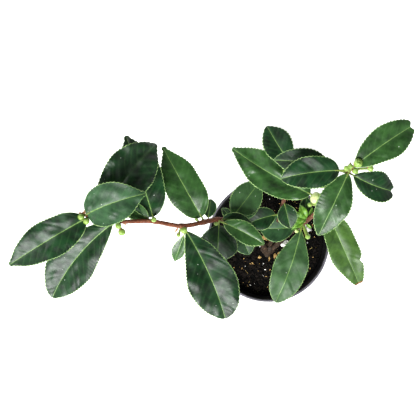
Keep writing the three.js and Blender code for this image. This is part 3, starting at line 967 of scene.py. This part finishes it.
def pottingMix():
    # Peat and fine bark: nearly black when moist, dull, with brown fibres. It is mostly air, so it
    # bends light less than solid matter does and throws back hardly any sheen.
    material, tree, shader = newMaterial("potting mix, moist peat and bark fines", Roughness=0.9, IOR=1.2)
    where = addNode(tree, "ShaderNodeTexCoord").outputs["Object"]
    speck = addNode(
        tree, "ShaderNodeTexNoise", {"Scale": 1 / (1.6 * mm), "Detail": 6, "Roughness": 0.75},
        {"Vector": where},
    ).outputs["Fac"]
    brown = addNode(
        tree, "ShaderNodeValToRGB", {"stops": [(0.45, "#030303"), (0.68, "#080605"), (0.86, "#24180f")]},
        {"Fac": speck},
    )
    relief = addNode(tree, "ShaderNodeBump", {"Strength": 0.9, "Distance": 0.5 * mm}, {"Height": speck})
    tree.links.new(brown.outputs["Color"], shader.inputs["Base Color"])
    tree.links.new(relief.outputs["Normal"], shader.inputs["Normal"])
    return material


mix = {
    "rings": 70, "sides": 180, "crumbs": 5200, "nuggets": 420, "chips": 170, "fibres": 26, "perlite": 54,
    "bigPerlite": [
        (39, 11, 4.6), (36, 15, 3.6), (14, -3, 5.4), (18, -1, 2.6), (-4, -2, 1.8), (5, -42, 2.0)
    ],
    "bigChips": [
        (-3, 3, 2.6), (3, -1, 2.2), (-8, -16, 1.6), (-14, -22, 1.4), (7, -14, 2.4), (2, -16, 2.0),
        (11, -12, 1.7),
    ],
    "slope": 0.148,   # the pot wall's run per rise, for the side of the root ball
}
mixColours = [
    pottingMix(),
    plainTissue("peat crumb, near black", "#030303", "#070605", 0.9, 1, IOR=1.2),
    plainTissue("bark fines, dark brown", "#090604", "#160f0a", 0.85, 1, IOR=1.25),
    plainTissue("pine bark chip, tan", "#8f6a38", "#d2ad6c", 0.75, 1),
    plainTissue("straw fibre, dry yellow", "#9c8040", "#d1b878", 0.7, 1),
    plainTissue("perlite, expanded white", "#d9d8d2", "#f6f5f0", 0.85, 0.8),
]


def mixHeight(x, y):
    # waves of about 17, 3 and 1 mm
    wave = noiseAt(x * 0.06, y * 0.06, 3.1) * 1.6
    return wave + noiseAt(x * 0.3, y * 0.3, 8.7) * 0.8 + noiseAt(x * 0.9, y * 0.9, 1.7) * 0.5


def fillPot():
    low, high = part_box("potting_mix")
    level, bottom, reach = high.z / mm, low.z / mm, (high.x - low.x) / 2 / mm
    batch = Batch()
    rings, sides = mix["rings"], mix["sides"]
    points, faces = [(0, 0, level - 0.4)], []
    for i in range(1, rings + 1):
        radius = reach * i / rings
        for j in range(sides):
            angle = 2 * math.pi * j / sides
            x, y = radius * math.cos(angle), radius * math.sin(angle)
            points.append((x, y, level - 0.6 + mixHeight(x, y) * min(1, (rings - i) / 4)))
    for j in range(sides):
        faces.append((0, 1 + j, 1 + (j + 1) % sides))
    faces += ringFaces(rings, sides, 1, inward=True)
    # side and bottom of the root ball, so that it shows through the drainage holes
    edge = 1 + (rings - 1) * sides
    bottomRadius = reach - (level - bottom) * mix["slope"]
    for j in range(sides):
        angle = 2 * math.pi * j / sides
        points.append((bottomRadius * math.cos(angle), bottomRadius * math.sin(angle), bottom))
    for j in range(sides):
        a, b = edge + j, edge + (j + 1) % sides
        faces.append((a, a + sides, b + sides, b))
    faces.append(tuple(range(edge + 2 * sides - 1, edge + sides - 1, -1)))
    batch.add(points, faces, 0)
    piece = batch.piece("potting_mix_body", mixColours)
    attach(piece, "root")
    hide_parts("potting_mix")

    rng = random.Random(11)
    loose = Batch()
    corner = [(1, 0, 0), (-1, 0, 0), (0, 1, 0), (0, -1, 0), (0, 0, 1), (0, 0, -1)]
    octahedron = [(0, 2, 4), (2, 1, 4), (1, 3, 4), (3, 0, 4), (2, 0, 5), (1, 2, 5), (3, 1, 5), (0, 3, 5)]

    def scatter(count, sizes, stretch, slot, sink, places=None):
        for k in range(count):
            if places:
                x, y, size = places[k]
            else:
                radius = (reach - 2.5) * math.sqrt(rng.random())
                angle = rng.uniform(0, 2 * math.pi)
                x, y, size = radius * math.cos(angle), radius * math.sin(angle), rng.uniform(*sizes)
            turn = rng.uniform(0, math.pi)
            tilt = rng.uniform(-0.5, 0.5)
            long, wide, high = rng.uniform(*stretch), rng.uniform(0.6, 1), rng.uniform(0.35, 0.7)
            uneven = [[rng.uniform(0.75, 1.2) for _ in range(3)] for _ in corner]
            shape = np.array(corner, float) * uneven * np.array([long, wide, high]) * size
            c, s = math.cos(turn), math.sin(turn)
            spin = np.array([[c, -s, 0], [s, c, 0], [0, 0, 1]])
            c, s = math.cos(tilt), math.sin(tilt)
            lean = np.array([[c, 0, -s], [0, 1, 0], [s, 0, c]])
            shape = shape @ lean.T @ spin.T
            lift = level - 0.6 + mixHeight(x, y) + size * sink
            loose.add(shape + [x, y, lift], octahedron, slot)

    scatter(mix["crumbs"] * 2 // 3, (0.4, 1.3), (0.8, 1.5), 1, 0.2)
    scatter(mix["crumbs"] // 3, (0.4, 1.5), (0.8, 1.8), 2, 0.25)
    scatter(mix["nuggets"], (1.0, 2.6), (0.9, 1.7), 2, 0.1)
    scatter(mix["chips"], (0.3, 0.9), (1.0, 2.0), 3, 0.5)
    scatter(len(mix["bigChips"]), None, (1.2, 2.0), 3, 0.3, mix["bigChips"])
    scatter(mix["fibres"], (0.22, 0.4), (5, 14), 4, 1.2)
    scatter(mix["perlite"], (0.5, 1.1), (0.8, 1.2), 5, 0.4)
    scatter(len(mix["bigPerlite"]), None, (0.8, 1.2), 5, 0.3, mix["bigPerlite"])
    piece = loose.piece("potting_mix_crumbs", mixColours)
    setSmooth(piece.data, False)
    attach(piece, "root")


fillPot()
print("pot filled")


edge = 3000 * mm   # from the middle to the floor's edge
floorMesh = bpy.data.meshes.new("floor")
corners = [(-edge, -edge, 0), (edge, -edge, 0), (edge, edge, 0), (-edge, edge, 0)]
floorMesh.from_pydata(corners, [], [(0, 1, 2, 3)])
paper, tree, shader = newMaterial("white studio paper", Roughness=0.9)
shader.inputs["Base Color"].default_value = hexToLinear("#fbfbfb")
shader.inputs["Emission Color"].default_value = hexToLinear("#ffffff")
shader.inputs["Emission Strength"].default_value = 0.7   # lit from behind like a light table
floorMesh.materials.append(paper)
floor = bpy.data.objects.new("floor", floorMesh)
bpy.context.scene.collection.objects.link(floor)


lamps = {   # square softboxes, power in watts
    "key": {"place": (-400, -1150, 1300), "size": 900, "power": 57},
    "left fill": {"place": (-1300, 500, 700), "size": 900, "power": 8},
}
middle = (-50, 20, 180)   # of the plant
for name, lamp in lamps.items():
    light = bpy.data.lights.new(name, "AREA")
    light.shape, light.size, light.energy = "SQUARE", lamp["size"] * mm, lamp["power"]
    holder = bpy.data.objects.new(name, light)
    holder.location = Vector(lamp["place"]) * mm
    holder.rotation_euler = (Vector(middle) - Vector(lamp["place"])).to_track_quat("-Z", "Y").to_euler()
    bpy.context.scene.collection.objects.link(holder)

world = bpy.data.worlds.new("studio")
world.use_nodes = True
# pale walls under a darker ceiling, so that level wax doesn't go grey seen from above
sky = world.node_tree
towards = addNode(sky, "ShaderNodeTexCoord").outputs["Generated"]
height = addNode(sky, "ShaderNodeSeparateXYZ", None, {"Vector": towards})
dimming = addNode(
    sky, "ShaderNodeMapRange", {"From Min": 0.25, "From Max": 0.85, "To Min": 0.68, "To Max": 0.09},
    {"Value": height.outputs["Z"]},
)
sky.links.new(dimming.outputs["Result"], sky.nodes["Background"].inputs["Strength"])
sky.nodes["Background"].inputs["Color"].default_value = hexToLinear("#ffffff")
bpy.context.scene.world = world
bpy.context.scene.view_settings.view_transform = "Standard"

camera = {"place": (-56.8, 30.9, 1005), "focal": 82.9, "sensor": 36}
lens = bpy.data.cameras.new("camera")
lens.lens, lens.sensor_width = camera["focal"], camera["sensor"]
lens.clip_start, lens.clip_end = 0.01, 50
viewer = bpy.data.objects.new("camera", lens)
viewer.location = [v * mm for v in camera["place"]]
bpy.context.scene.collection.objects.link(viewer)
bpy.context.scene.camera = viewer
print("stage set")
